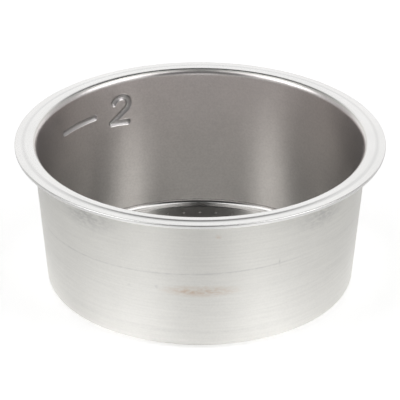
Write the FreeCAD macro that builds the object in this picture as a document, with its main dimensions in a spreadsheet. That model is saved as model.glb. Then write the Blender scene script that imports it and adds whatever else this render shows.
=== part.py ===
# Espresso filter basket: one cup drawn from a single disc of stainless sheet.
# The cup narrows towards its perforated floor and ends above in a flat rim with a raised bead.
# A fill line and the number 2 are pressed into the wall from inside and stand out outside.
# Millimetres and degrees. +Z is up, the origin is the centre of the floor's underside, -Y is the front.
import FreeCAD, Part
import Sketcher
import math
import os

Vector = FreeCAD.Vector
Constraint = Sketcher.Constraint
doc = FreeCAD.newDocument("filter_basket_model")

# Driving dimensions
# The mouth and floor diameters are those of the sharp corners, before the corners are rounded.
# The rim's and the bead's widths are counted outwards from the mouth's corner.
# The marks' azimuths are counted from the back towards the left, the way the marks are read.
sizes = {
    "mouth_diameter": 53.0,
    "floor_diameter": 49.7,
    "overall_height": 24.6,
    "sheet_thickness": 0.6,
    "rim_width": 3.5,
    "mouth_radius": 1.1,
    "corner_radius": 1.5,
    "edge_radius": 0.2,
    "bead_width": 1.65,
    "bead_rise": 0.15,
    "bead_slope": 16.0,
    "bead_crown_radius": 0.9,
    "bead_foot_radius": 1.8,
    "hole_diameter": 0.6,
    "ring_pitch": 2.6,
    "plain_margin": 3.6,
    "mark_width": 1.0,
    "mark_depth": 0.3,
    "mark_below_rim": 5.5,
    "digit_azimuth": 31.0,
    "digit_tilt": 6.0,
    "digit_width": 3.1,
    "digit_height": 4.5,
    "digit_bow_radius": 1.25,
    "digit_hook_radius": 1.75,
    "digit_hook_sweep": 65.0,
    "line_azimuth": 50.9,
    "line_span": 16.8,
}
sheet = doc.addObject("Spreadsheet::Sheet", "Dims")
for row, (alias, value) in enumerate(sizes.items(), start=1):
    sheet.set(f"A{row}", alias)
    sheet.set(f"B{row}", str(value))
    sheet.setAlias(f"B{row}", alias)
doc.recompute()

body = doc.addObject("PartDesign::Body", "filter_basket")
body.Label = "filter_basket"


def size(alias):
    """The present value of one driving dimension."""
    return float(sheet.get(alias))


def origin_plane(role):
    """One of the body's own three base planes."""
    return next(plane for plane in body.Origin.OriginFeatures if plane.Role == role)


def new_sketch(name, role="XZ_Plane"):
    """An empty sketch on one of the body's base planes."""
    sketch = body.newObject("Sketcher::SketchObject", name)
    sketch.AttachmentSupport = [(origin_plane(role), "")]
    sketch.MapMode = "FlatFace"
    return sketch


def add_outline(sketch, corners):
    """Joins the corners with straight lines into a closed outline, and returns the lines' numbers."""
    lines = [
        sketch.addGeometry(Part.LineSegment(Vector(*start, 0), Vector(*end, 0)), False)
        for start, end in zip(corners, corners[1:] + corners[:1])
    ]
    for line, following in zip(lines, lines[1:] + lines[:1]):
        sketch.addConstraint(Constraint("Coincident", line, 2, following, 1))
    return lines


def add_size(sketch, name, formula, kind, *where):
    """Adds a dimension that follows the formula. where ends with a first guess at its value."""
    sketch.addConstraint(Constraint(kind, *where))
    sketch.renameConstraint(sketch.ConstraintCount - 1, name)
    sketch.setExpression("Constraints." + name, formula)


def add_feature(kind, name, **values):
    """Adds one feature to the body and sets its properties."""
    feature = body.newObject("PartDesign::" + kind, name)
    for key, value in values.items():
        setattr(feature, key, value)
    return feature


def revolve(kind, name, sketch):
    """Turns a sketch once round the cup's axis, to add or to cut away."""
    feature = add_feature(kind, name, Profile=sketch, ReferenceAxis=(sketch, ["V_Axis"]), Angle=360.0)
    sketch.Visibility = False
    doc.recompute()
    return feature


def round_rings(name, formula, *rings):
    """Rounds circular edges. A ring is its height and its rank by radius among those at that height."""
    base = body.Tip
    level_reach = size("sheet_thickness") / 1000
    chosen = []
    for height, rank in rings:
        level = [
            (edge.Curve.Radius, number)
            for number, edge in enumerate(base.Shape.Edges, start=1)
            if isinstance(edge.Curve, Part.Circle)
            and len(edge.Vertexes) == 1
            and abs(edge.Curve.Center.z - height) < level_reach
        ]
        chosen.append(f"Edge{sorted(level)[rank][1]}")
    fillet = add_feature("Fillet", name, Base=(base, chosen))
    fillet.setExpression("Radius", formula)
    doc.recompute()
    return fillet


# Levels and radii of the sheet's sharp corners, as first guesses for the sketches
rim_top = size("overall_height")
band_top = rim_top - size("bead_rise")
sheet_gauge = size("sheet_thickness")
bead_run = size("bead_rise") / math.tan(math.radians(size("bead_slope")))
floor_edge = size("floor_diameter") / 2
mouth_edge = size("mouth_diameter") / 2
bead_edge = mouth_edge + size("bead_width")
rim_edge = mouth_edge + size("rim_width")
wall_lean = math.atan2(rim_top, mouth_edge - floor_edge)

# Outer form
# A solid blank with the shape that the cup has from outside, its rim included.
blank_outline = new_sketch("blank_outline")
blank = add_outline(
    blank_outline,
    [
        (0, 0),
        (floor_edge, 0),
        (mouth_edge + sheet_gauge, rim_top - sheet_gauge),
        (bead_edge, rim_top - sheet_gauge),
        (bead_edge + bead_run, band_top - sheet_gauge),
        (rim_edge, band_top - sheet_gauge),
        (rim_edge, band_top),
        (bead_edge + bead_run, band_top),
        (bead_edge, rim_top),
        (0, rim_top),
    ],
)
floor_side, wall_side, bead_under, slope_under, band_under = blank[:5]
rim_side, band_side, slope_side, bead_side, axis_side = blank[5:]
for line in (floor_side, bead_under, band_under, band_side, bead_side):
    blank_outline.addConstraint(Constraint("Horizontal", line))
for line in (rim_side, axis_side):
    blank_outline.addConstraint(Constraint("Vertical", line))
blank_outline.addConstraint(Constraint("Coincident", -1, 1, floor_side, 1))
blank_outline.addConstraint(Constraint("Parallel", slope_under, slope_side))
mouth_point = blank_outline.addGeometry(Part.Point(Vector(mouth_edge, rim_top, 0)), True)
for name, formula, kind, *where in (
    ("floor_radius", "Dims.floor_diameter / 2", "DistanceX", -1, 1, floor_side, 2, floor_edge),
    ("rim_radius", "Dims.mouth_diameter / 2 + Dims.rim_width",
     "DistanceX", -1, 1, rim_side, 1, rim_edge),
    ("bead_radius", "Dims.mouth_diameter / 2 + Dims.bead_width",
     "DistanceX", -1, 1, bead_side, 1, bead_edge),
    ("rim_height", "Dims.overall_height", "DistanceY", -1, 1, bead_side, 1, rim_top),
    ("under_height", "Dims.overall_height - Dims.sheet_thickness",
     "DistanceY", -1, 1, bead_under, 1, rim_top - sheet_gauge),
    ("band_height", "Dims.overall_height - Dims.bead_rise", "DistanceY", -1, 1, band_side, 1, band_top),
    ("edge_gauge", "Dims.sheet_thickness", "DistanceY", rim_side, 1, rim_side, 2, sheet_gauge),
    ("slope_run", "Dims.bead_rise / tan(Dims.bead_slope)",
     "DistanceX", bead_side, 1, band_side, 2, bead_run),
    ("slope_gauge", "Dims.sheet_thickness", "Distance", band_side, 2, slope_under, sheet_gauge),
    ("mouth_radius", "Dims.mouth_diameter / 2", "DistanceX", -1, 1, mouth_point, 1, mouth_edge),
    ("mouth_height", "Dims.overall_height", "DistanceY", -1, 1, mouth_point, 1, rim_top),
    ("wall_gauge", "Dims.sheet_thickness", "Distance", mouth_point, 1, wall_side, sheet_gauge),
):
    add_size(blank_outline, name, formula, kind, *where)
wall_slant = blank_outline.addConstraint(Constraint("Angle", wall_side, wall_lean))
blank_outline.setDriving(wall_slant, False)
blank_outline.renameConstraint(wall_slant, "wall_slant")
revolve("Revolution", "cup_blank", blank_outline)

under_top = rim_top - sheet_gauge
under_band = band_top - sheet_gauge
round_rings("floor_corner_outside", "Dims.corner_radius", (0, 0))
round_rings("neck_under_rim", "Dims.mouth_radius - Dims.sheet_thickness", (under_top, 0))
round_rings("bead_crown", "Dims.bead_crown_radius", (rim_top, 0))
round_rings("bead_foot", "Dims.bead_foot_radius", (band_top, 0))
round_rings("bead_crown_under", "Dims.bead_crown_radius - Dims.sheet_thickness", (under_top, -1))
round_rings("bead_foot_under", "Dims.bead_foot_radius + Dims.sheet_thickness", (under_band, 0))
round_rings("rim_edges", "Dims.edge_radius", (band_top, -1), (under_band, -1))
print("blank", round(body.Tip.Shape.Volume, 2), "valid", body.Tip.Shape.isValid())

# Paths of the pressed marks
# A round-nosed punch followed each path. Its nose stands off the inner wall by more than it sinks in.
TAPER = "(90 deg - blank_outline.Constraints.wall_slant)"
WALL_RADIUS = f"(Dims.mouth_diameter / 2 - Dims.mark_below_rim * tan({TAPER}))"
WALL_HEIGHT = "(Dims.overall_height - Dims.mark_below_rim)"
NOSE_RADIUS = "((Dims.mark_width ^ 2 / 4 + Dims.mark_depth ^ 2) / (2 * Dims.mark_depth))"
NOSE_OFFSET = f"({NOSE_RADIUS} - Dims.mark_depth)"


def place_on_wall(sketch):
    """Lays a sketch against the inner wall, facing the axis, with its x axis to the right."""
    sketch.setExpression(
        "AttachmentOffset",
        f"placement(vector(-{WALL_RADIUS} * sin(Dims.digit_azimuth); {WALL_HEIGHT};"
        f" -{WALL_RADIUS} * cos(Dims.digit_azimuth));"
        f" rotationy(Dims.digit_azimuth) * rotationx(-{TAPER}))"
        f" * placement(vector(0; 0; {NOSE_OFFSET}); rotationz(-Dims.digit_tilt))",
    )


digit_left = -size("digit_width") / 2
digit_foot = -size("digit_height") / 2
digit_head = size("digit_height") / 2
bow = size("digit_bow_radius")
hook = size("digit_hook_radius")
bow_x = size("digit_width") / 2 - bow
hook_end = math.radians(90 + size("digit_hook_sweep"))
bow_end = -math.atan2(size("digit_height"), size("digit_width"))

digit_stroke = new_sketch("digit_stroke")
place_on_wall(digit_stroke)
bow_tail = Vector(bow_x + bow * math.cos(bow_end), digit_head - bow + bow * math.sin(bow_end), 0)
diagonal = digit_stroke.addGeometry(Part.LineSegment(Vector(digit_left, digit_foot, 0), bow_tail), False)
bow_arc = digit_stroke.addGeometry(
    Part.ArcOfCircle(
        Part.Circle(Vector(bow_x, digit_head - bow, 0), Vector(0, 0, 1), bow), bow_end, math.pi / 2
    ),
    False,
)
hook_arc = digit_stroke.addGeometry(
    Part.ArcOfCircle(
        Part.Circle(Vector(bow_x, digit_head - hook, 0), Vector(0, 0, 1), hook), math.pi / 2, hook_end
    ),
    False,
)
digit_stroke.addConstraint(Constraint("Tangent", diagonal, 2, bow_arc, 1))
digit_stroke.addConstraint(Constraint("Tangent", bow_arc, 2, hook_arc, 1))
for name, formula, kind, *where in (
    ("hook_radius", "Dims.digit_hook_radius", "Radius", hook_arc, hook),
    ("bow_radius", "Dims.digit_bow_radius", "Radius", bow_arc, bow),
    ("bow_reach", "Dims.digit_width / 2 - Dims.digit_bow_radius", "DistanceX", -1, 1, bow_arc, 3, bow_x),
    ("hook_reach", "Dims.digit_width / 2 - Dims.digit_bow_radius",
     "DistanceX", -1, 1, hook_arc, 3, bow_x),
    ("bow_height", "Dims.digit_height / 2 - Dims.digit_bow_radius",
     "DistanceY", -1, 1, bow_arc, 3, digit_head - bow),
    ("hook_sweep", "Dims.digit_hook_sweep", "Angle", hook_arc, math.radians(size("digit_hook_sweep"))),
    ("corner_reach", "Dims.digit_width / 2", "DistanceX", diagonal, 1, -1, 1, -digit_left),
    ("corner_drop", "Dims.digit_height / 2", "DistanceY", diagonal, 1, -1, 1, -digit_foot),
):
    add_size(digit_stroke, name, formula, kind, *where)

digit_bar = new_sketch("digit_bar")
place_on_wall(digit_bar)
bar = digit_bar.addGeometry(
    Part.LineSegment(Vector(digit_left, digit_foot, 0), Vector(-digit_left, digit_foot, 0)), False
)
digit_bar.addConstraint(Constraint("Horizontal", bar))
for name, formula, kind, *where in (
    ("bar_start", "Dims.digit_width / 2", "DistanceX", bar, 1, -1, 1, -digit_left),
    ("bar_length", "Dims.digit_width", "DistanceX", bar, 1, bar, 2, -2 * digit_left),
    ("bar_drop", "Dims.digit_height / 2", "DistanceY", bar, 1, -1, 1, -digit_foot),
):
    add_size(digit_bar, name, formula, kind, *where)

fill_line = new_sketch("fill_line", "XY_Plane")
fill_line.setExpression(
    "AttachmentOffset",
    f"placement(vector(0; 0; {WALL_HEIGHT} + {NOSE_OFFSET} * sin({TAPER}));"
    f" rotationz(90 + Dims.line_azimuth))",
)
line_half = math.radians(size("line_span") / 2)
line_arc = fill_line.addGeometry(
    Part.ArcOfCircle(Part.Circle(Vector(0, 0, 0), Vector(0, 0, 1), mouth_edge), -line_half, line_half), False
)
fill_line.addConstraint(Constraint("Coincident", line_arc, 3, -1, 1))
fill_line.addConstraint(Constraint("Symmetric", line_arc, 1, line_arc, 2, -1))
for name, formula, kind, *where in (
    ("line_radius", f"{WALL_RADIUS} - {NOSE_OFFSET} * cos({TAPER})", "Radius", line_arc, mouth_edge),
    ("line_span", "Dims.line_span", "Angle", line_arc, 2 * line_half),
):
    add_size(fill_line, name, formula, kind, *where)
doc.recompute()


def press_path(kind, path, radius, *ends):
    """Runs a round nose along a path, with a ball at each of the named ends, to add or to cut away."""
    label = "ridge_" if kind == "Additive" else "groove_"
    section = body.newObject("Sketcher::SketchObject", label + path.Name + "_section")
    section.AttachmentSupport = [(path, "Edge1")]
    section.MapMode = "NormalToEdge"
    nose = section.addGeometry(Part.Circle(Vector(0, 0, 0), Vector(0, 0, 1), size("mark_width")), False)
    section.addConstraint(Constraint("Coincident", nose, 3, -1, 1))
    add_size(section, "nose_radius", radius, "Radius", nose, size("mark_width"))
    doc.recompute()
    spine = [f"Edge{number}" for number in range(1, len(path.Shape.Edges) + 1)]
    add_feature(kind + "Pipe", label + path.Name, Profile=section, Spine=(path, spine))
    doc.recompute()
    for end in ends:
        ball = add_feature(kind + "Sphere", f"{label}{path.Name}_end_{end}")
        ball.AttachmentSupport = [(path, f"Vertex{end}")]
        ball.MapMode = "Translate"
        ball.setExpression("Radius", radius)
        doc.recompute()
    path.Visibility = False
    section.Visibility = False


# Ridges outside
# The sheet keeps its gauge round the punch's nose, so the ridge is one gauge wider than the groove.
marks = ((digit_stroke, (1, 4)), (digit_bar, (2,)), (fill_line, (1, 2)))
for path, ends in marks:
    print(path.Name, [tuple(round(c, 2) for c in corner.Point) for corner in path.Shape.Vertexes])
    press_path("Additive", path, f"{NOSE_RADIUS} + Dims.sheet_thickness", *ends)
print("ridged blank", round(body.Tip.Shape.Volume, 2), "valid", body.Tip.Shape.isValid())

# Cavity
# What is taken out of the blank leaves a wall and a floor of one sheet's gauge.
cavity_outline = new_sketch("cavity_outline")
floor_line, wall_line, mouth_line, centre_line = add_outline(
    cavity_outline,
    [(0, sheet_gauge), (floor_edge - sheet_gauge, sheet_gauge), (mouth_edge, rim_top), (0, rim_top)],
)
outside_wall = cavity_outline.addGeometry(
    Part.LineSegment(Vector(floor_edge, 0, 0), Vector(mouth_edge + sheet_gauge, rim_top, 0)), True
)
for line in (floor_line, mouth_line):
    cavity_outline.addConstraint(Constraint("Horizontal", line))
cavity_outline.addConstraint(Constraint("Vertical", centre_line))
cavity_outline.addConstraint(Constraint("Parallel", outside_wall, wall_line))
cavity_outline.addConstraint(Constraint("PointOnObject", floor_line, 1, -2))
for name, formula, kind, *where in (
    ("floor_gauge", "Dims.sheet_thickness", "DistanceY", -1, 1, floor_line, 1, sheet_gauge),
    ("mouth_height", "Dims.overall_height", "DistanceY", -1, 1, mouth_line, 1, rim_top),
    ("mouth_radius", "Dims.mouth_diameter / 2", "DistanceX", -1, 1, mouth_line, 1, mouth_edge),
    ("outside_foot", "Dims.floor_diameter / 2", "DistanceX", -1, 1, outside_wall, 1, floor_edge),
    ("outside_base", "0", "DistanceY", -1, 1, outside_wall, 1, 0),
    ("outside_height", "Dims.overall_height", "DistanceY", -1, 1, outside_wall, 2, rim_top),
    ("wall_gauge", "Dims.sheet_thickness", "Distance", mouth_line, 1, outside_wall, sheet_gauge),
):
    add_size(cavity_outline, name, formula, kind, *where)
before = body.Tip.Shape.Volume
revolve("Groove", "cavity", cavity_outline)
print("cavity volume", round(before - body.Tip.Shape.Volume, 2))
round_rings("floor_corner_inside", "Dims.corner_radius - Dims.sheet_thickness", (sheet_gauge, 0))
round_rings("mouth_roll", "Dims.mouth_radius", (rim_top, 0))
print("cup", round(body.Tip.Shape.Volume, 2), "valid", body.Tip.Shape.isValid())

# Grooves inside
for path, ends in marks:
    press_path("Subtractive", path, NOSE_RADIUS, *ends)
print("marked cup", round(body.Tip.Shape.Volume, 2), "valid", body.Tip.Shape.isValid())

# Perforated floor
# Holes lie on rings a pitch apart, six more on each ring than on the one inside it.
# One sixth of the field is drawn and punched, and the pattern turns it round the middle hole.
# The rings end where the floor's plain margin begins.
SECTORS = 6
SECTOR_ANGLE = 360 / SECTORS
hole_reach = size("hole_diameter") / 2
rings = int((floor_edge - size("plain_margin") - hole_reach) // size("ring_pitch"))
sector = new_sketch("hole_sector", "XY_Plane")
first_hole = None
for ring in range(1, rings + 1):
    for step in range(ring):
        bearing = SECTOR_ANGLE * step / ring
        centre_x = size("ring_pitch") * ring * math.cos(math.radians(bearing))
        centre_y = size("ring_pitch") * ring * math.sin(math.radians(bearing))
        hole = sector.addGeometry(
            Part.Circle(Vector(centre_x, centre_y, 0), Vector(0, 0, 1), hole_reach), False
        )
        name = f"ring_{ring}_hole_{step}"
        for axis, formula, kind, guess in (
            ("_x", f"Dims.ring_pitch * {ring} * cos({bearing})", "DistanceX", centre_x),
            ("_y", f"Dims.ring_pitch * {ring} * sin({bearing})", "DistanceY", centre_y),
        ):
            add_size(sector, name + axis, formula, kind, -1, 1, hole, 3, guess)
        if first_hole is None:
            first_hole = hole
            add_size(sector, "hole_radius", "Dims.hole_diameter / 2", "Radius", hole, hole_reach)
        else:
            sector.addConstraint(Constraint("Equal", first_hole, hole))

middle = new_sketch("hole_middle", "XY_Plane")
middle_hole = middle.addGeometry(Part.Circle(Vector(0, 0, 0), Vector(0, 0, 1), hole_reach), False)
middle.addConstraint(Constraint("Coincident", middle_hole, 3, -1, 1))
add_size(middle, "hole_radius", "Dims.hole_diameter / 2", "Radius", middle_hole, hole_reach)

before = body.Tip.Shape.Volume
for outline in (middle, sector):
    punch = add_feature("Pocket", outline.Name + "_punch", Profile=outline, Type="Length", Reversed=True)
    punch.setExpression("Length", "Dims.sheet_thickness * 2")
    outline.Visibility = False
    doc.recompute()
field = add_feature("PolarPattern", "hole_field", Originals=[punch], Angle=360.0, Occurrences=SECTORS)
field.Axis = (sector, ["N_Axis"])
body.Tip = field
doc.recompute()
print("punched out", round(before - body.Tip.Shape.Volume, 3), "from rings", rings)

# Check and export
doc.recompute()
faults = [item.Name for item in doc.Objects if "Invalid" in item.State or "Error" in item.State]
if faults:
    raise RuntimeError("objects failed: " + ", ".join(faults))
shape = body.Shape
if shape.isNull() or not shape.isValid() or len(shape.Solids) != 1:
    raise RuntimeError("the cup isn't one valid solid")
os.makedirs("parts", exist_ok=True)
shape.exportStep(f"parts/{body.Label}.step")
box = shape.optimalBoundingBox(False, False)
print("size", [round(length, 3) for length in (box.XLength, box.YLength, box.ZLength)])
print("lowest", round(box.ZMin, 4))
print("faces", len(shape.Faces), "volume", round(shape.Volume, 3))
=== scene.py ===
# %% [markdown]
# # Espresso filter basket
# The basket is one cup, pressed from a disc of stainless sheet. It has a flat rim with a raised bead,
# a wall that narrows downwards, a floor full of small round holes, and two marks that a round-nosed
# punch pressed outwards from inside: a fill line and the numeral 2.
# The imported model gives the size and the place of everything. It is loaded first.

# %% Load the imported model
import math

import bmesh
import bpy
from mathutils import Matrix, Vector
from mathutils.geometry import intersect_point_line


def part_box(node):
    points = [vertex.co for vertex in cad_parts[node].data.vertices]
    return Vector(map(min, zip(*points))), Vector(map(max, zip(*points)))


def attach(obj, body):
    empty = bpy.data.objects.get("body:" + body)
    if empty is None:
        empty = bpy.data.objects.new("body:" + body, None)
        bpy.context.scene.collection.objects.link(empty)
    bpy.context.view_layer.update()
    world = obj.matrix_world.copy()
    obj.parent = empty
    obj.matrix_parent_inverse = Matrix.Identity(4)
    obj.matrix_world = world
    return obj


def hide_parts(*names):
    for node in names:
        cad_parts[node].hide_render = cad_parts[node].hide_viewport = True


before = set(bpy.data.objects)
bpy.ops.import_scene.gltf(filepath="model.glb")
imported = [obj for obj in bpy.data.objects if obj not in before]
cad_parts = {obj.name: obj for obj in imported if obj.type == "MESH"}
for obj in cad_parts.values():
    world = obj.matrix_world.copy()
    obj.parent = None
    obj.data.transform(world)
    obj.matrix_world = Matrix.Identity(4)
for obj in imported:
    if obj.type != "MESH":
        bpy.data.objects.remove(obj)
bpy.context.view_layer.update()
lowest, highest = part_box("filter_basket")

# %% [markdown]
# ## The camera
# The photograph looks down into the cup at about 27 degrees with a long lens: the rim's far and near
# edges are almost as wide as each other. A camera fitted to the rim's outline gives the distance and
# the focal length in the photograph's own pixels, which a 36 mm wide sensor turns into millimetres.
# The cup stands a little above the middle of the picture, so the camera is turned, not shifted.

# %% Camera
MM = 0.001
PHOTO_WIDTH = 400
FOCAL_PIXELS = 3714.8
SENSOR_WIDTH = 36.0
CAMERA_PLACE = Vector((0.0, -538.2, 289.7)) * MM
CAMERA_PITCH = math.radians(27.157)
CAMERA_ROLL = math.radians(0.166)

camera_data = bpy.data.cameras.new("photo_camera")
camera_data.sensor_width = SENSOR_WIDTH
camera_data.lens = FOCAL_PIXELS * SENSOR_WIDTH / PHOTO_WIDTH
camera_data.clip_start = 0.05
camera = bpy.data.objects.new("photo_camera", camera_data)
bpy.context.scene.collection.objects.link(camera)
camera.matrix_world = (
    Matrix.Translation(CAMERA_PLACE)
    @ Matrix.Rotation(math.pi / 2 - CAMERA_PITCH, 4, "X")
    @ Matrix.Rotation(CAMERA_ROLL, 4, "Z")
)
bpy.context.scene.camera = camera
bpy.context.scene.view_settings.view_transform = "Standard"
print("lens", round(camera_data.lens, 1), "mm")

# %% [markdown]
# ## The section of the sheet
# A drawn cup is the same all round, so its shape is one section, turned about the axis. The section
# starts as a chain of straight edges between sharp corners, inside first and then back outside, one
# sheet's thickness apart. Bevelling a corner of the chain then gives it its bend.
# The floor's perforated middle is left open here: it comes later, between the chain's two ends.

# %% Sizes of the section
RIM_RADIUS = highest.x
HEIGHT = highest.z
GAUGE = 0.6 * MM
MOUTH_RADIUS = 26.5 * MM
FLOOR_RADIUS = 24.85 * MM
BEAD_RADIUS = 28.15 * MM
BEAD_RISE = 0.15 * MM
BEAD_SLOPE = math.radians(16)
PERFORATED_RADIUS = 22.3 * MM
MARK_LEVEL = HEIGHT - 5.5 * MM
MARK_REACH = 3.3 * MM

chord = Vector((MOUTH_RADIUS - FLOOR_RADIUS, HEIGHT))
TAPER = math.atan2(chord.x, chord.y) + math.asin(GAUGE / chord.length)
print("wall leans", round(math.degrees(TAPER), 3), "degrees")


def inner_radius(level):
    """Radius of the wall's inside at a height."""
    return MOUTH_RADIUS - (HEIGHT - level) * math.tan(TAPER)


def outer_radius(level):
    """Radius of the wall's outside at a height."""
    return FLOOR_RADIUS + level * math.tan(TAPER)


# %% Corners of the section
MARK_LOW = MARK_LEVEL - MARK_REACH
MARK_HIGH = MARK_LEVEL + MARK_REACH
band_top = HEIGHT - BEAD_RISE
foot_radius = BEAD_RADIUS + BEAD_RISE / math.tan(BEAD_SLOPE)
under_shift = GAUGE * math.tan(BEAD_SLOPE / 2)

# Each corner: radius, height, radius of its bend, segments of its bend, parts of the edge before it
corners = [
    (PERFORATED_RADIUS, GAUGE, 0, 0, 1),
    (inner_radius(GAUGE), GAUGE, 0.9 * MM, 14, 1),
    (inner_radius(MARK_LOW), MARK_LOW, 0, 0, 12),
    (inner_radius(MARK_HIGH), MARK_HIGH, 0, 0, 66),
    (MOUTH_RADIUS, HEIGHT, 1.1 * MM, 18, 1),
    (BEAD_RADIUS, HEIGHT, 0.9 * MM, 4, 1),
    (foot_radius, band_top, 1.8 * MM, 5, 1),
    (RIM_RADIUS, band_top, 0.2 * MM, 5, 1),
    (RIM_RADIUS, band_top - GAUGE, 0.2 * MM, 5, 1),
    (foot_radius - under_shift, band_top - GAUGE, 2.4 * MM, 5, 1),
    (BEAD_RADIUS - under_shift, HEIGHT - GAUGE, 0.3 * MM, 4, 1),
    (outer_radius(HEIGHT - GAUGE), HEIGHT - GAUGE, 0.5 * MM, 10, 1),
    (outer_radius(MARK_HIGH), MARK_HIGH, 0, 0, 1),
    (outer_radius(MARK_LOW), MARK_LOW, 0, 0, 66),
    (FLOOR_RADIUS, 0, 1.5 * MM, 16, 12),
    (PERFORATED_RADIUS, 0, 0, 0, 1),
]
print(len(corners), "corners")


# %% [markdown]
# A bend of radius r in a corner that turns by an angle a touches the corner's two edges at a distance
# of r times the tangent of a / 2. That distance is what a vertex bevel asks for.

# %% Draw and bend the chain
def corner_place(number):
    """Where a corner of the chain lies in the XZ plane."""
    radius, level = corners[number][:2]
    return Vector((radius, 0, level))


def draw_chain(mesh):
    """Draws the chain by extruding its last point along each edge. Returns the corners' points."""
    chain = [mesh.verts.new(corner_place(0))]
    end = chain[0]
    for number in range(1, len(corners)):
        parts = corners[number][4]
        for part in range(1, parts + 1):
            end = bmesh.ops.extrude_vert_indiv(mesh, verts=[end])["verts"][0]
            end.co = corner_place(number - 1).lerp(corner_place(number), part / parts)
        chain.append(end)
    return chain


def bend_corners(mesh, chain):
    """Rounds each corner that has a bend."""
    for number in range(1, len(corners) - 1):
        bend, segments = corners[number][2:4]
        if not bend:
            continue
        before, corner, after = (corner_place(near) for near in (number - 1, number, number + 1))
        turn = (corner - before).angle(after - corner)
        bmesh.ops.bevel(
            mesh,
            geom=[chain[number]],
            offset=bend * math.tan(turn / 2),
            offset_type="OFFSET",
            segments=segments,
            profile=0.5,
            affect="VERTICES",
            material=-1,
        )


# %% [markdown]
# ## Turning the section into a cup
# Spin turns the chain about the axis. The stretch of wall that carries the pressed marks needs many
# narrow columns, and the rest doesn't, so the cup has two stretches with different steps.
# Spin gets slow on a large mesh. So only a quarter of each stretch is spun, and copies of it are laid
# side by side. Merging the doubles then closes the seams.

# %% Spin
MARKS_FROM = math.radians(90 + 22)
MARKS_TO = math.radians(90 + 65)
FINE_STEPS = 160
COARSE_STEPS = 192
COPIES = 4
MERGE_REACH = 0.001 * MM
AXIS = Vector((0, 0, 1))


def lay_stretch(mesh, draw, start, angle, steps):
    """Adds a stretch of what draw draws, as equal spun parts side by side."""
    part_angle = angle / COPIES
    part = bmesh.new()
    draw(part)
    bmesh.ops.rotate(part, cent=(0, 0, 0), matrix=Matrix.Rotation(start, 3, "Z"), verts=part.verts[:])
    bmesh.ops.spin(
        part,
        geom=part.verts[:] + part.edges[:],
        cent=(0, 0, 0),
        axis=AXIS,
        dvec=(0, 0, 0),
        angle=part_angle,
        steps=steps // COPIES,
        use_merge=False,
    )
    data = bpy.data.meshes.new("stretch")
    part.to_mesh(data)
    part.free()
    for _ in range(COPIES):
        mesh.from_mesh(data)
        data.transform(Matrix.Rotation(part_angle, 4, "Z"))
    bpy.data.meshes.remove(data)


def turned(draw):
    """A mesh of what draw draws, turned once round the axis."""
    mesh = bmesh.new()
    lay_stretch(mesh, draw, MARKS_FROM, MARKS_TO - MARKS_FROM, FINE_STEPS)
    lay_stretch(mesh, draw, MARKS_TO, math.tau - (MARKS_TO - MARKS_FROM), COARSE_STEPS)
    bmesh.ops.remove_doubles(mesh, verts=mesh.verts[:], dist=MERGE_REACH)
    return mesh


cup_mesh = turned(lambda part: bend_corners(part, draw_chain(part)))
print("cup", len(cup_mesh.verts), "points", len(cup_mesh.faces), "faces")

# %% [markdown]
# ## The perforated floor
# The holes are punched, so they are round, straight and all alike. They lie on rings a fixed pitch
# apart, with six more holes on each ring than on the one inside it.
# A boolean for every hole would be slow and leave a ragged mesh. Instead the floor's two sides are
# filled flat between its border and the circles of the holes, and a bridge between the two circles of
# a hole makes its wall. The border is spun in the same steps as the cup, so that the two fit.
# The fill leaves gaps between edges of a tenth of a millimetre, so it runs on a larger copy in
# millimetres, which is scaled back afterwards.

# %% Holes
HOLE_RADIUS = 0.3 * MM
HOLE_SEGMENTS = 14
RING_PITCH = 2.6 * MM
RINGS = 8


def hole_places():
    """Centres of the holes, the middle one first."""
    places = [Vector((0, 0, 0))]
    for ring in range(1, RINGS + 1):
        holes = 6 * ring
        for step in range(holes):
            turn = Matrix.Rotation(math.tau * step / holes, 3, "Z")
            places.append(turn @ Vector((RING_PITCH * ring, 0, 0)))
    return places


def draw_border(part):
    """The first points of the floor's border, on its upper and its lower side."""
    for level in (GAUGE, 0):
        part.verts.new((PERFORATED_RADIUS, 0, level))


def draw_circle(mesh, place, level):
    """One sharp-edged circle of a hole at a height. Returns its edges."""
    made = bmesh.ops.create_circle(
        mesh,
        cap_ends=False,
        radius=HOLE_RADIUS,
        segments=HOLE_SEGMENTS,
        matrix=Matrix.Translation((place.x, place.y, level)),
    )
    circle = list({edge for vertex in made["verts"] for edge in vertex.link_edges})
    for edge in circle:
        edge.smooth = False
    return circle


def fill_side(mesh, level):
    """Fills one side of the floor between all the loops that lie at its height."""
    loops = [
        edge for edge in mesh.edges
        if all(abs(end.co.z - level) < MERGE_REACH for end in edge.verts)
    ]
    bmesh.ops.triangle_fill(mesh, use_beauty=True, use_dissolve=False, edges=loops)


floor_mesh = turned(draw_border)
hole_loops = [
    (draw_circle(floor_mesh, place, GAUGE), draw_circle(floor_mesh, place, 0))
    for place in hole_places()
]
bmesh.ops.scale(floor_mesh, vec=(1 / MM,) * 3, verts=floor_mesh.verts[:])
for level in (GAUGE / MM, 0):
    fill_side(floor_mesh, level)
for top, foot in hole_loops:
    bmesh.ops.bridge_loops(floor_mesh, edges=top + foot)
bmesh.ops.scale(floor_mesh, vec=(MM,) * 3, verts=floor_mesh.verts[:])
print(len(hole_loops), "holes", len(floor_mesh.faces), "faces")

# %% Join the floor to the cup
floor_data = bpy.data.meshes.new("floor")
floor_mesh.to_mesh(floor_data)
floor_mesh.free()
cup_mesh.from_mesh(floor_data)
bpy.data.meshes.remove(floor_data)
bmesh.ops.remove_doubles(cup_mesh, verts=cup_mesh.verts[:], dist=MERGE_REACH)
bmesh.ops.recalc_face_normals(cup_mesh, faces=cup_mesh.faces[:])
print("open edges", sum(1 for edge in cup_mesh.edges if not edge.is_manifold))
print("volume", round(cup_mesh.calc_volume(signed=True) / MM**3, 1), "mm3")

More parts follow.
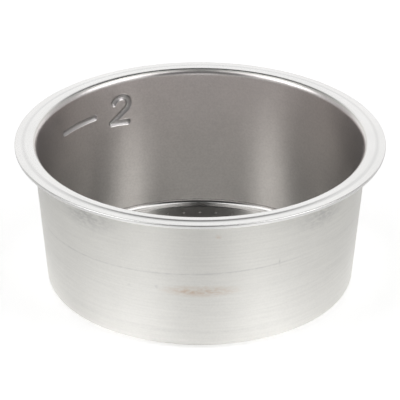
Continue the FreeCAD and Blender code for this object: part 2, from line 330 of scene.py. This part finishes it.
# %% [markdown]
# ## The pressed marks
# A punch with a round nose sank a little into the wall along each stroke. Inside, that leaves a
# trough with the nose's radius and softly rolled shoulders. Outside, the sheet stands out as a
# ridge, one sheet's thickness wider.
# The wall is finely divided there, so every point is pushed outwards by what the nose asks for at
# its distance from the nearest stroke. This keeps the mesh whole and its shading even.
# Each point keeps how deep it was pressed, as a share of the full depth, for the finishes to read.

# %% The nose's shape
MARK_WIDTH = 1.0 * MM
MARK_DEPTH = 0.3 * MM
NOSE_RADIUS = (MARK_WIDTH**2 / 4 + MARK_DEPTH**2) / (2 * MARK_DEPTH)
NOSE_OFFSET = NOSE_RADIUS - MARK_DEPTH
SHOULDER_INSIDE = 0.15 * MM
SHOULDER_OUTSIDE = 0.4 * MM


def press_depth(distance, radius, offset, shoulder):
    """Depth that a nose presses into a surface, which lies offset away from the nose's path."""
    reach = math.sqrt(max((radius + shoulder)**2 - (offset + shoulder)**2, 0))
    if distance >= reach:
        return 0.0
    if distance < reach * radius / (radius + shoulder):
        return max(math.sqrt(radius**2 - distance**2) - offset, 0)
    return shoulder - math.sqrt(shoulder**2 - (reach - distance)**2)


print("nose radius", round(NOSE_RADIUS / MM, 3), "mm")

# %% Strokes of the numeral
DIGIT_AZIMUTH = math.radians(31)
DIGIT_TILT = math.radians(6)
DIGIT_WIDTH = 3.1 * MM
DIGIT_HEIGHT = 4.5 * MM
BOW_RADIUS = 1.25 * MM
HOOK_RADIUS = 1.75 * MM
HOOK_SWEEP = math.radians(65)
ARC_STEPS = 24


def arc_points(centre, radius, start, end):
    """Points along a circular arc in the plane of the numeral."""
    angles = [start + (end - start) * step / ARC_STEPS for step in range(ARC_STEPS + 1)]
    return [centre + radius * Vector((math.cos(angle), math.sin(angle))) for angle in angles]


bow_centre = Vector((DIGIT_WIDTH / 2 - BOW_RADIUS, DIGIT_HEIGHT / 2 - BOW_RADIUS))
hook_centre = Vector((bow_centre.x, DIGIT_HEIGHT / 2 - HOOK_RADIUS))
left_corner = Vector((-DIGIT_WIDTH / 2, -DIGIT_HEIGHT / 2))
right_corner = Vector((DIGIT_WIDTH / 2, -DIGIT_HEIGHT / 2))
sight = bow_centre - left_corner
diagonal_angle = math.atan2(sight.y, sight.x) - math.asin(BOW_RADIUS / sight.length)
top_angle = math.pi / 2
numeral = arc_points(hook_centre, HOOK_RADIUS, top_angle + HOOK_SWEEP, top_angle)
numeral += arc_points(bow_centre, BOW_RADIUS, top_angle, diagonal_angle - top_angle)
numeral += [left_corner, right_corner]
print("numeral", len(numeral), "points")


# %% Press the marks
LINE_AZIMUTH = math.radians(50.9)
LINE_SPAN = math.radians(16.8)
across = Vector((math.cos(DIGIT_AZIMUTH), math.sin(DIGIT_AZIMUTH), 0))
outwards = Vector((-math.sin(DIGIT_AZIMUTH), math.cos(DIGIT_AZIMUTH), 0))
upwards = outwards * math.sin(TAPER) + AXIS * math.cos(TAPER)
facing = AXIS * math.sin(TAPER) - outwards * math.cos(TAPER)
digit_place = outwards * inner_radius(MARK_LEVEL) + AXIS * MARK_LEVEL


def distance_to_stroke(point, stroke):
    """Shortest distance from a point to a chain of points in one plane."""
    shortest = math.inf
    for start, end in zip(stroke, stroke[1:]):
        foot, share = intersect_point_line(point, start, end)
        nearest = start.lerp(end, min(max(share, 0), 1))
        shortest = min(shortest, (point - nearest).length)
    return shortest


def pressed_by_numeral(place, extra, shoulder):
    """How far the numeral's strokes press a point of the wall outwards."""
    local = place - digit_place
    flat = Vector((local.dot(across), local.dot(upwards)))
    if flat.length > DIGIT_HEIGHT:
        return 0.0
    flat.rotate(Matrix.Rotation(DIGIT_TILT, 2))
    offset = NOSE_OFFSET - local.dot(facing)
    return press_depth(distance_to_stroke(flat, numeral), NOSE_RADIUS + extra, offset, shoulder)


def pressed_by_line(place, extra, shoulder):
    """How far the fill line presses a point of the wall outwards."""
    azimuth = math.atan2(-place.x, place.y)
    past_end = max(abs(azimuth - LINE_AZIMUTH) - LINE_SPAN / 2, 0) * place.xy.length
    aside = (place.z - MARK_LEVEL) / math.cos(TAPER)
    return press_depth(math.hypot(past_end, aside), NOSE_RADIUS + extra, NOSE_OFFSET + extra, shoulder)


def press_marks(mesh):
    """Pushes the wall's points out along the wall's normal where a mark runs. Returns the number moved."""
    pressed = mesh.verts.layers.float.new("pressed")
    moved = 0
    for vertex in mesh.verts:
        place = vertex.co.copy()
        if not MARK_LOW < place.z < MARK_HIGH or place.y < 0 or place.x > 0:
            continue
        outside = place.xy.length > inner_radius(place.z) + GAUGE / 2
        extra = GAUGE if outside else 0.0
        shoulder = SHOULDER_OUTSIDE if outside else SHOULDER_INSIDE
        depth = max(pressed_by_numeral(place, extra, shoulder), pressed_by_line(place, extra, shoulder))
        if depth > 0:
            radial = Vector((place.x, place.y, 0)).normalized()
            vertex.co = place + depth * (radial * math.cos(TAPER) - AXIS * math.sin(TAPER))
            vertex[pressed] = depth / MARK_DEPTH
            moved += 1
    return moved


print("points pressed outwards", press_marks(cup_mesh))

# %% [markdown]
# ## One finished piece
# All faces are shaded smooth, because the sheet's bends are true arcs. Only the rims of the punched holes
# stay sharp. The faces take one of four finishes by where they lie: the inside, the rim, the outside and the
# floor of a drawn cup come out of the press with different surfaces. The floor's finish also covers the bend
# between the floor and the wall, on the inside, and its much darker tint is painted shade at the bottom of
# the cup.

# %% Make the piece
INSIDE, RIM, OUTSIDE, FLOOR = range(4)
BEND_TOP = 1.4 * MM


def finish_of(face):
    """Which finish a face takes, from its place on the section."""
    place = face.calc_center_median()
    radius = place.xy.length
    if place.z > HEIGHT - 2 * GAUGE and radius > BEAD_RADIUS - 2 * GAUGE:
        return RIM
    middle = (inner_radius(place.z) + outer_radius(place.z)) / 2
    if place.z < GAUGE / 2 or radius > middle:
        return OUTSIDE
    if place.z < BEND_TOP:
        return FLOOR
    return INSIDE


for face in cup_mesh.faces:
    face.smooth = True
    face.material_index = finish_of(face)
cup_data = bpy.data.meshes.new("pressed_cup")
cup_mesh.to_mesh(cup_data)
cup_mesh.free()
pressed_cup = bpy.data.objects.new("pressed_cup", cup_data)
bpy.context.scene.collection.objects.link(pressed_cup)
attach(pressed_cup, "root")
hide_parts("filter_basket")
triangles = sum(len(polygon.vertices) - 2 for polygon in cup_data.polygons)
print("triangles", triangles)

# %% [markdown]
# ## Steel finishes
# Pressed stainless steel is a pale, slightly warm metal. What tells its parts apart is how finely the press
# polished them, so the four finishes share one recipe and differ in tint, roughness and grain. Part of the
# tint is painted shade: the floor's tint is much darker, and the tints darken towards the rim.
# The materials read a point's own place in millimetres, so they need no unwrapping.

# %% Node helpers
def feed(tree, socket, value):
    """Gives a socket a number, a colour or another node's output."""
    if isinstance(value, bpy.types.NodeSocket):
        tree.links.new(value, socket)
    elif socket.type == "RGBA":
        socket.default_value = (*value, 1)
    else:
        socket.default_value = value


def add_node(tree, kind, **inputs):
    """Adds a shader node and feeds its named inputs."""
    node = tree.nodes.new("ShaderNode" + kind)
    for name, value in inputs.items():
        feed(tree, node.inputs[name.replace("_", " ")], value)
    return node


def calculate(tree, operation, first, second=0.0):
    """Adds a maths node with two operands. Returns its output."""
    node = add_node(tree, "Math")
    node.operation = operation
    for socket, value in zip(node.inputs, (first, second)):
        feed(tree, socket, value)
    return node.outputs["Value"]


def remap(tree, value, low, high, to_low, to_high):
    """Maps a range of values smoothly onto another. Returns the output."""
    node = add_node(tree, "MapRange", Value=value, From_Min=low, From_Max=high, To_Min=to_low, To_Max=to_high)
    node.interpolation_type = "SMOOTHSTEP"
    return node.outputs["Result"]


def blend(tree, share, under, over, mode="MIX"):
    """Mixes two colours. Returns the mix."""
    node = add_node(tree, "Mix")
    node.data_type = "RGBA"
    node.blend_type = mode
    for socket, value in zip((node.inputs[0], node.inputs[6], node.inputs[7]), (share, under, over)):
        feed(tree, socket, value)
    return node.outputs[2]


def between(tree, share, under, over):
    """Mixes two numbers. Returns the mix."""
    node = add_node(tree, "Mix")
    for socket, value in zip((node.inputs[0], node.inputs[2], node.inputs[3]), (share, under, over)):
        feed(tree, socket, value)
    return node.outputs[0]


# %% Places on the steel
WALL_RADIUS = 25.6


def read_place(tree):
    """What the finishes ask about a point, in millimetres."""
    metres = add_node(tree, "TexCoord").outputs["Object"]
    point = add_node(tree, "Mapping", Vector=metres, Scale=(1 / MM,) * 3).outputs["Vector"]
    parts = add_node(tree, "SeparateXYZ", Vector=point).outputs
    flat = add_node(tree, "CombineXYZ", X=parts["X"], Y=parts["Y"])
    radius = add_node(tree, "VectorMath", Vector=flat.outputs["Vector"])
    radius.operation = "LENGTH"
    azimuth = calculate(tree, "ARCTAN2", parts["X"], calculate(tree, "MULTIPLY", parts["Y"], -1.0))
    along = calculate(tree, "MULTIPLY", azimuth, WALL_RADIUS)
    unrolled = add_node(tree, "CombineXYZ", X=along, Y=parts["Z"])
    return {
        "point": point,
        "right": parts["X"],
        "height": parts["Z"],
        "radius": radius.outputs["Value"],
        "along": along,
        "unrolled": unrolled.outputs["Vector"],
    }


def streaks(tree, place, scale, detail=3.0):
    """Noise with its own scale sideways and upwards. Returns its value."""
    stretched = add_node(tree, "Mapping", Vector=place["point"], Scale=scale).outputs["Vector"]
    return add_node(tree, "TexNoise", Vector=stretched, Scale=1.0, Detail=detail).outputs["Fac"]


# %% [markdown]
# The cup has been used. Its outside carries a thin line rubbed all along the front, a brown smear and a few
# specks. Painted shade is laid on in the same way: a fainter dark line low on the wall, and two darker
# patches under the rim, where its overhang shades the wall. Each is a soft spot or a line on the unrolled
# wall, where lengths count from the front towards the right. Noise breaks them up, so that none is even. A
# grey line of painted shade also runs along the foot of the rim's bead.

# %% Wear and painted shade
BROWN = (0.58, 0.40, 0.26)
# This grey serves both for soot and for painted shade.
SOOT_AND_SHADE_GREY = (0.25, 0.25, 0.26)
# Each line: height in front, rise per millimetre to the right, half width, strength, left end, right end
WEAR_AND_SHADE_LINES = (
    (13.9, 0.032, 0.22, 0.20, -27.0, 16.0),
    # The second, fainter line is painted shade low on the wall.
    (3.0, -0.01, 0.55, 0.07, -22.0, 14.0),
)
LINE_FADE = 6.0
# Each stain or patch of painted shade: place along the wall, height, half length, half height, strength,
# colour
STAINS_AND_SHADE_PATCHES = (
    (0.2, 10.7, 7.2, 1.3, 0.55, BROWN),
    (-1.5, 10.6, 3.0, 0.5, 0.45, BROWN),
    (12.8, 14.5, 0.25, 0.8, 0.30, SOOT_AND_SHADE_GREY),
    (-11.4, 10.5, 0.4, 0.4, 0.30, SOOT_AND_SHADE_GREY),
    (-6.8, 11.1, 0.4, 0.4, 0.30, SOOT_AND_SHADE_GREY),
    (2.8, 20.8, 0.6, 0.5, 0.45, BROWN),
    # The last two are patches of painted shade under the rim's overhang.
    (-19.0, 21.0, 6.5, 3.2, 0.40, SOOT_AND_SHADE_GREY),
    (20.8, 20.8, 6.0, 3.0, 0.36, SOOT_AND_SHADE_GREY),
)
BREAK_SCALE = (1.1, 1.1, 2.6)
BREAK_FROM = 0.35
BREAK_TO = 0.6
BREAK_LEAVES = 0.35
# The grey line along the bead's foot is painted shade.
BEAD_FOOT = 28.6
FOOT_LINE_REACH = 0.5
FOOT_LINE_STRENGTH = 0.16


def wear_and_shade_line(tree, place, height, rise, half_width, strength, left, right):
    """How strongly one of the rubbed and painted-shade lines shows at a point."""
    middle = calculate(tree, "ADD", calculate(tree, "MULTIPLY", place["right"], rise), height)
    aside = calculate(tree, "ABSOLUTE", calculate(tree, "SUBTRACT", place["height"], middle))
    line = remap(tree, aside, 0.0, half_width, strength, 0.0)
    begun = remap(tree, place["along"], left - LINE_FADE, left, 0.0, 1.0)
    ended = remap(tree, place["along"], right - LINE_FADE, right + LINE_FADE, 1.0, 0.0)
    return calculate(tree, "MULTIPLY", line, calculate(tree, "MULTIPLY", begun, ended))


def stain_and_shade_spot(tree, place, along, height, half_length, half_height, strength):
    """How strongly one of the stains and patches of painted shade shows at a point."""
    middle = (along, height, 0)
    reach = (half_length, half_height, 1)
    centred = add_node(tree, "Mapping", Vector=place["unrolled"], Location=middle, Scale=reach)
    centred.vector_type = "TEXTURE"
    spot = add_node(tree, "TexGradient", Vector=centred.outputs["Vector"])
    spot.gradient_type = "SPHERICAL"
    return calculate(tree, "MULTIPLY", spot.outputs["Fac"], strength)


def wear_and_shade_outside(tree, place, shade):
    """The rubbed line, the stains and the painted shade on the outside."""
    broken = remap(tree, streaks(tree, place, BREAK_SCALE), BREAK_FROM, BREAK_TO, BREAK_LEAVES, 1.0)
    for line in WEAR_AND_SHADE_LINES:
        share = calculate(tree, "MULTIPLY", wear_and_shade_line(tree, place, *line), broken)
        shade = blend(tree, share, shade, SOOT_AND_SHADE_GREY)
    for *spot, colour in STAINS_AND_SHADE_PATCHES:
        share = calculate(tree, "MULTIPLY", stain_and_shade_spot(tree, place, *spot), broken)
        shade = blend(tree, share, shade, colour)
    return shade


def bead_foot_shade(tree, place, shade):
    """A grey line of painted shade along the foot of the bead."""
    aside = calculate(tree, "ABSOLUTE", calculate(tree, "SUBTRACT", place["radius"], BEAD_FOOT))
    return blend(tree, remap(tree, aside, 0.0, FOOT_LINE_REACH, FOOT_LINE_STRENGTH, 0.0), shade, SOOT_AND_SHADE_GREY)


def no_wear(tree, place, shade):
    """Leaves the steel as it came from the press."""
    return shade


# One of the lines and two of the stains counted here are painted shade.
print(len(WEAR_AND_SHADE_LINES), "rubbed lines", len(STAINS_AND_SHADE_PATCHES), "stains")

# %% [markdown]
# Three kinds of noise carry the tone: a slow cloud, brush lines that run round the cup, and a fine speckle.
# The cloud also moves the roughness a little. The punch left the marks rougher, and their troughs are
# darkened with painted shade. The two sides of the sheet keep the same pressed depth, so a mark's ridge on
# the outside is darkened with painted shade as well.

# %% Steel
CLOUD_SCALE = (0.09, 0.09, 0.09)
BRUSHING_SCALE = (0.12, 0.12, 3.0)
SPECKLE_SCALE = (3.0, 3.0, 3.0)
GRAIN_SCALE = (2.5, 2.5, 2.5)
GRAIN_DETAIL = 2.0
GRAIN_HEIGHT = 0.02 * MM
CLOUD_RANGE = (0.3, 0.7)
FINE_RANGE = (0.25, 0.75)
CLOUD_TONE = 0.03
SMOOTHEST = 0.97
ROUGHEST = 1.07
BRUSH_DIRECTION = 0.25
TROUGH_ROUGHNESS = 0.45
# Painted shade in the pressed marks: how dark it gets, and the share of the depth at which it is full.
TROUGH_SHADE = 0.45
SHADED_FROM_DEPTH = 0.4
ROUGH_FROM_DEPTH = 0.5


def wander(tree, noise, noise_range, amount):
    """A factor that strays from one by an amount either way."""
    return remap(tree, noise, *noise_range, 1 - amount, 1 + amount)


def steel_tone(tree, place, cloud, brush_lines, speckle):
    """The factor that the three kinds of noise give the tint."""
    brushing = wander(tree, streaks(tree, place, BRUSHING_SCALE), FINE_RANGE, brush_lines)
    speckles = wander(tree, streaks(tree, place, SPECKLE_SCALE), FINE_RANGE, speckle)
    tone = calculate(tree, "MULTIPLY", wander(tree, cloud, CLOUD_RANGE, CLOUD_TONE), brushing)
    tone = calculate(tree, "MULTIPLY", tone, speckles)
    return add_node(tree, "CombineXYZ", X=tone, Y=tone, Z=tone).outputs["Vector"]


def steel(name, low_tint, high_tint, roughness, brushed, grain, brush_lines, speckle, wear_and_shade):
    """A satin steel. Its tint changes up the wall and darkens towards the rim as painted shade. Its tone and
    roughness wander a little.
    """
    material = bpy.data.materials.new(name)
    material.use_nodes = True
    tree = material.node_tree
    surface = tree.nodes["Principled BSDF"].inputs
    surface["Metallic"].default_value = 1.0
    surface["Anisotropic"].default_value = brushed
    surface["Anisotropic Rotation"].default_value = BRUSH_DIRECTION
    around = add_node(tree, "Tangent")
    around.direction_type = "RADIAL"
    around.axis = "Z"
    feed(tree, surface["Tangent"], around.outputs["Tangent"])

    place = read_place(tree)
    pressed = add_node(tree, "Attribute")
    pressed.attribute_name = "pressed"
    depth = pressed.outputs["Fac"]
    cloud = streaks(tree, place, CLOUD_SCALE)

    # Painted shade: the tint at the rim is darker than at the floor, a little inside and more outside.
    tint = blend(tree, remap(tree, place["height"], 0.0, HEIGHT / MM, 0.0, 1.0), low_tint, high_tint)
    shade = blend(tree, 1.0, tint, steel_tone(tree, place, cloud, brush_lines, speckle), "MULTIPLY")
    shade = wear_and_shade(tree, place, shade)
    # Painted shade darkens the marks, the more the deeper a point was pressed.
    shade = blend(tree, remap(tree, depth, 0.0, SHADED_FROM_DEPTH, 0.0, TROUGH_SHADE), shade, SOOT_AND_SHADE_GREY)
    feed(tree, surface["Base Color"], shade)

    gloss = remap(tree, cloud, *CLOUD_RANGE, roughness * SMOOTHEST, roughness * ROUGHEST)
    rubbed = remap(tree, depth, 0.0, ROUGH_FROM_DEPTH, 0.0, TROUGH_ROUGHNESS - roughness)
    feed(tree, surface["Roughness"], calculate(tree, "ADD", gloss, rubbed))
    fine = streaks(tree, place, GRAIN_SCALE, GRAIN_DETAIL)
    bump = add_node(tree, "Bump", Strength=grain, Distance=GRAIN_HEIGHT, Height=fine)
    feed(tree, surface["Normal"], bump.outputs["Normal"])
    return material


# Each finish: name, tint at the floor, tint at the rim, roughness, pull of the brushing, grain, strength of
# the brush lines, strength of the speckle, wear and painted shade. The darker tints at the rim are painted
# shade under the rim.
FINISHES = (
    ("drawn_inside", (0.81, 0.80, 0.775), (0.81, 0.77, 0.76), 0.29, 0.5, 0.3, 0.01, 0.05, no_wear),
    ("polished_rim", (0.86, 0.855, 0.845), (0.86, 0.855, 0.845), 0.22, 0.0, 0.1, 0.0, 0.0, bead_foot_shade),
    ("satin_outside", (0.83, 0.82, 0.79), (0.77, 0.76, 0.725), 0.40, 0.8, 0.15, 0.025, 0.02, wear_and_shade_outside),
    # Its much darker tint is painted shade at the bottom of the cup.
    ("rolled_floor_painted_shade", (0.52, 0.51, 0.50), (0.52, 0.51, 0.50), 0.13, 0.0, 0.05, 0.01, 0.01, no_wear),
)
for finish in FINISHES:
    cup_data.materials.append(steel(*finish))
    print("finish", finish[0])

# %% [markdown]
# ## The studio
# Metal shows its surroundings, so most of the light is the room itself. The wall of the cup mirrors
# the table in front of it, so the table glows a little for mirrored rays: close to the cup, and in two
# pools to the left and to the right of the front. To the camera the whole table is white, apart from
# the cup's faint shadow.

# %% Floor
FLOOR_HALF = 3.0
TABLE_GREY = (0.86, 0.86, 0.86)
GLOW_SEEN = 0.45
GLOW_NEAR = 0.38
GLOW_FAR = 0.03
GLOW_NEAR_REACH = 26 * MM
GLOW_FAR_REACH = 60 * MM
GLOW_POOLS = 2.6
POOL_SIDEWAYS_POWER = 2.0
POOL_AHEAD_POWER = 7.0


def mirrored_glow(tree):
    """How strongly the table glows at a point, for the steel that mirrors it."""
    place = add_node(tree, "TexCoord").outputs["Object"]
    reach = add_node(tree, "VectorMath", Vector=place)
    reach.operation = "LENGTH"
    near = add_node(
        tree,
        "MapRange",
        Value=reach.outputs["Value"],
        From_Min=GLOW_NEAR_REACH,
        From_Max=GLOW_FAR_REACH,
        To_Min=GLOW_NEAR,
        To_Max=GLOW_FAR,
    )
    heading = add_node(tree, "VectorMath", Vector=place)
    heading.operation = "NORMALIZE"
    parts = add_node(tree, "SeparateXYZ", Vector=heading.outputs["Vector"]).outputs
    ahead = add_node(tree, "MapRange", Value=parts["Y"], From_Min=0.0, From_Max=-1.0).outputs["Result"]
    sideways = calculate(tree, "ABSOLUTE", parts["X"])
    pools = calculate(
        tree,
        "MULTIPLY",
        calculate(tree, "POWER", sideways, POOL_SIDEWAYS_POWER),
        calculate(tree, "POWER", ahead, POOL_AHEAD_POWER),
    )
    return calculate(tree, "ADD", near.outputs["Result"], calculate(tree, "MULTIPLY", pools, GLOW_POOLS))


def make_floor():
    """A pale table top under the cup, white to the camera, which keeps the cup's shadow."""
    mesh = bmesh.new()
    bmesh.ops.create_grid(mesh, x_segments=1, y_segments=1, size=FLOOR_HALF)
    data = bpy.data.meshes.new("table_top")
    mesh.to_mesh(data)
    mesh.free()
    floor = bpy.data.objects.new("table_top", data)
    floor.location.z = lowest.z
    bpy.context.scene.collection.objects.link(floor)

    material = bpy.data.materials.new("white_table")
    material.use_nodes = True
    tree = material.node_tree
    surface = tree.nodes["Principled BSDF"].inputs
    feed(tree, surface["Base Color"], TABLE_GREY)
    surface["Roughness"].default_value = 1.0
    surface["Specular IOR Level"].default_value = 0.0
    rays = add_node(tree, "LightPath").outputs
    mirrored = calculate(tree, "MULTIPLY", mirrored_glow(tree), rays["Is Glossy Ray"])
    seen = calculate(tree, "MULTIPLY", rays["Is Camera Ray"], GLOW_SEEN)
    feed(tree, surface["Emission Strength"], calculate(tree, "ADD", mirrored, seen))
    feed(tree, surface["Emission Color"], (1, 1, 1))
    data.materials.append(material)
    return floor


print("floor at", round(make_floor().location.z, 4))

# %% [markdown]
# The room is white to the camera. To the steel, a white backdrop stands behind the cup, the walls to
# the sides and low down are grey, and the rest of the room is dark.

# %% World
HORIZON_LIGHT = 0.5
OVERHEAD_LIGHT = 0.06
OVERHEAD_FROM = 0.1
OVERHEAD_TO = 0.45
SIDES_FROM = 0.35
SIDES_TO = 0.65
SIDES_LIGHT = 0.5
BACKDROP_FROM = 0.52
BACKDROP_TO = 0.72


def make_world():
    """The room round the cup. Its light depends on the direction."""
    world = bpy.data.worlds.new("studio_room")
    world.use_nodes = True
    tree = world.node_tree
    background = tree.nodes["Background"].inputs
    feed(tree, background["Color"], (1, 1, 1))
    direction = add_node(tree, "TexCoord").outputs["Generated"]
    parts = add_node(tree, "SeparateXYZ", Vector=direction).outputs
    room = remap(tree, parts["Z"], OVERHEAD_FROM, OVERHEAD_TO, HORIZON_LIGHT, OVERHEAD_LIGHT)
    aside = calculate(tree, "ABSOLUTE", parts["X"])
    sides = remap(tree, aside, SIDES_FROM, SIDES_TO, 0.0, SIDES_LIGHT)
    backdrop = remap(tree, parts["Y"], BACKDROP_FROM, BACKDROP_TO, 0.0, 1.0)
    walls = between(tree, backdrop, calculate(tree, "MAXIMUM", room, sides), 1.0)
    camera_ray = add_node(tree, "LightPath").outputs["Is Camera Ray"]
    feed(tree, background["Strength"], between(tree, camera_ray, walls, 1.0))
    bpy.context.scene.world = world
    return world


print("world", make_world().name)

# %% [markdown]
# Two large soft boxes stand high to the left and to the right of the camera. They draw the two
# highlights on the roll of the mouth and the two light bands on the inside. Two cards lift the sides
# and one low card lifts the middle of the far wall.

# %% Soft boxes
LAMP_DISTANCE = 0.9
# Each lamp: name, azimuth from the front towards the right, elevation, width, height, power
LAMPS = (
    ("soft_box_left", -64, 57, 0.45, 0.80, 1.9),
    ("soft_box_right", 64, 57, 0.45, 0.80, 1.9),
    ("side_card_left", -80, 34, 0.35, 0.35, 0.6),
    ("side_card_right", 80, 34, 0.35, 0.35, 0.6),
    ("front_card", 0, 16, 0.35, 0.25, 0.16),
)


def soft_box(name, azimuth, elevation, width, height, power):
    """A soft lamp that faces the cup and stays out of the picture."""
    lamp = bpy.data.lights.new(name, "AREA")
    lamp.shape = "RECTANGLE"
    lamp.size = width
    lamp.size_y = height
    lamp.energy = power
    place = LAMP_DISTANCE * Vector((
        math.sin(azimuth) * math.cos(elevation),
        -math.cos(azimuth) * math.cos(elevation),
        math.sin(elevation),
    ))
    holder = bpy.data.objects.new(name, lamp)
    holder.matrix_world = Matrix.Translation(place) @ place.to_track_quat("Z", "Y").to_matrix().to_4x4()
    holder.visible_camera = False
    bpy.context.scene.collection.objects.link(holder)
    return holder


for name, azimuth, elevation, width, height, power in LAMPS:
    box = soft_box(name, math.radians(azimuth), math.radians(elevation), width, height, power)
    print(box.name, [round(value, 2) for value in box.location])
